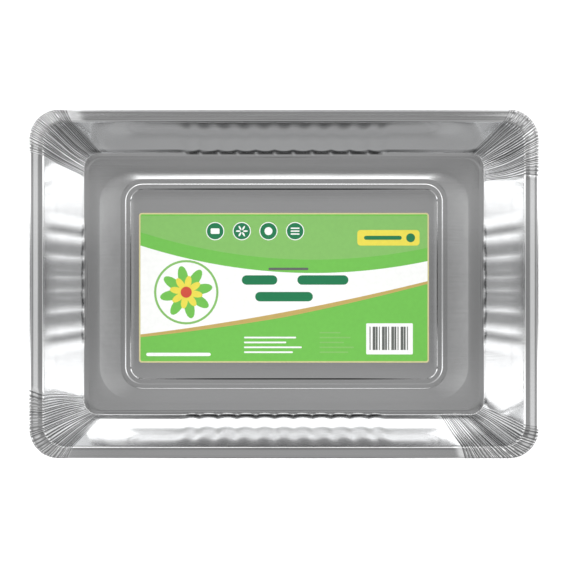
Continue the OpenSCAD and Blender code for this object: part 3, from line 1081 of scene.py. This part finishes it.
def floor_material():
    material, nodes, links, shader = new_material("Studio floor")
    set_inputs(shader, Base_Color=(0.9, 0.9, 0.9, 1.0), Roughness=0.9)
    path = nodes.new("ShaderNodeLightPath")
    seen = math_node(nodes, links, "MAXIMUM", path.outputs["Is Camera Ray"],
                     path.outputs["Is Glossy Ray"])
    seen = math_node(nodes, links, "MAXIMUM", seen, path.outputs["Is Transmission Ray"])
    glow = nodes.new("ShaderNodeEmission")
    links.new(math_node(nodes, links, "MULTIPLY", seen, FLOOR_GLOW), glow.inputs["Strength"])
    add = nodes.new("ShaderNodeAddShader")
    links.new(shader.outputs[0], add.inputs[0])
    links.new(glow.outputs[0], add.inputs[1])
    links.new(add.outputs[0], nodes["Material Output"].inputs["Surface"])
    return material


# Operators

class OBJECT_OT_foil_pan(bpy.types.Operator):
    """Builds the pressed foil pan"""

    bl_idname = "object.foil_pan"
    bl_label = "Foil pan"

    def execute(self, context):
        sizes = context.scene.foil_pan_sizes
        points, faces, painted_shades = pan_mesh(sizes)
        foil = foil_material(context.scene.foil_pan_colours)
        piece = make_object("foil_pan", points, faces, [foil])
        # The painted shade goes on the mesh as an attribute that the foil's colour reads.
        attribute = piece.data.attributes.new(PAINTED_SHADE_ATTRIBUTE, "FLOAT", "POINT")
        attribute.data.foreach_set("value", painted_shades)
        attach(piece, BODY)
        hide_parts("pan")
        return {"FINISHED"}


class OBJECT_OT_foil_pan_label(bpy.types.Operator):
    """Builds the printed label on the floor of the pan"""

    bl_idname = "object.foil_pan_label"
    bl_label = "Label"

    def execute(self, context):
        piece = label_piece(context.scene.foil_pan_colours)
        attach(piece, BODY)
        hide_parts("label")
        return {"FINISHED"}


class OBJECT_OT_foil_pan_stage(bpy.types.Operator):
    """Builds the white floor, the studio's light and the camera"""

    bl_idname = "object.foil_pan_stage"
    bl_label = "Stage"

    def execute(self, context):
        scene = context.scene
        scene.view_settings.view_transform = "Standard"
        half = FLOOR_SIZE / 2 / MM
        corners = [(-half, -half, 0), (half, -half, 0), (half, half, 0), (-half, half, 0)]
        floor = make_object("studio_floor", corners, [(0, 1, 2, 3)], [floor_material()], False)
        studio_world()
        lamp = bpy.data.lights.new("Overhead lamp", "AREA")
        lamp.size = LAMP_SIZE
        lamp.energy = LAMP_POWER
        overhead = bpy.data.objects.new("Overhead lamp", lamp)
        overhead.location = Vector((0.0, 0.0, LAMP_HEIGHT))
        overhead.visible_glossy = False
        scene.collection.objects.link(overhead)
        data = bpy.data.cameras.new("Camera")
        data.lens = CAMERA_LENS
        data.sensor_width = CAMERA_SENSOR
        camera = bpy.data.objects.new("Camera", data)
        camera.location = Vector((0.0, 0.0, CAMERA_HEIGHT))
        scene.collection.objects.link(camera)
        scene.camera = camera
        return {"FINISHED"}


class VIEW3D_PT_foil_pan(bpy.types.Panel):
    """Lists the pan's pieces, sizes and colours"""

    bl_label = "Foil Pan"
    bl_space_type = "VIEW_3D"
    bl_region_type = "UI"
    bl_category = "Foil Pan"

    def draw(self, context):
        layout = self.layout
        for operator in OPERATORS:
            layout.operator(operator.bl_idname)
        for group in (context.scene.foil_pan_sizes, context.scene.foil_pan_colours):
            for name in group.__annotations__:
                layout.prop(group, name)


OPERATORS = (OBJECT_OT_foil_pan, OBJECT_OT_foil_pan_label, OBJECT_OT_foil_pan_stage)
CLASSES = (FoilPanSizes, FoilPanColours, *OPERATORS, VIEW3D_PT_foil_pan)


def register():
    for cls in CLASSES:
        bpy.utils.register_class(cls)
    bpy.types.Scene.foil_pan_sizes = bpy.props.PointerProperty(type=FoilPanSizes)
    bpy.types.Scene.foil_pan_colours = bpy.props.PointerProperty(type=FoilPanColours)


def unregister():
    del bpy.types.Scene.foil_pan_colours
    del bpy.types.Scene.foil_pan_sizes
    for cls in reversed(CLASSES):
        bpy.utils.unregister_class(cls)


def main():
    register()
    bpy.ops.object.foil_pan()
    bpy.ops.object.foil_pan_label()
    bpy.ops.object.foil_pan_stage()


if __name__ == "__main__":
    main()
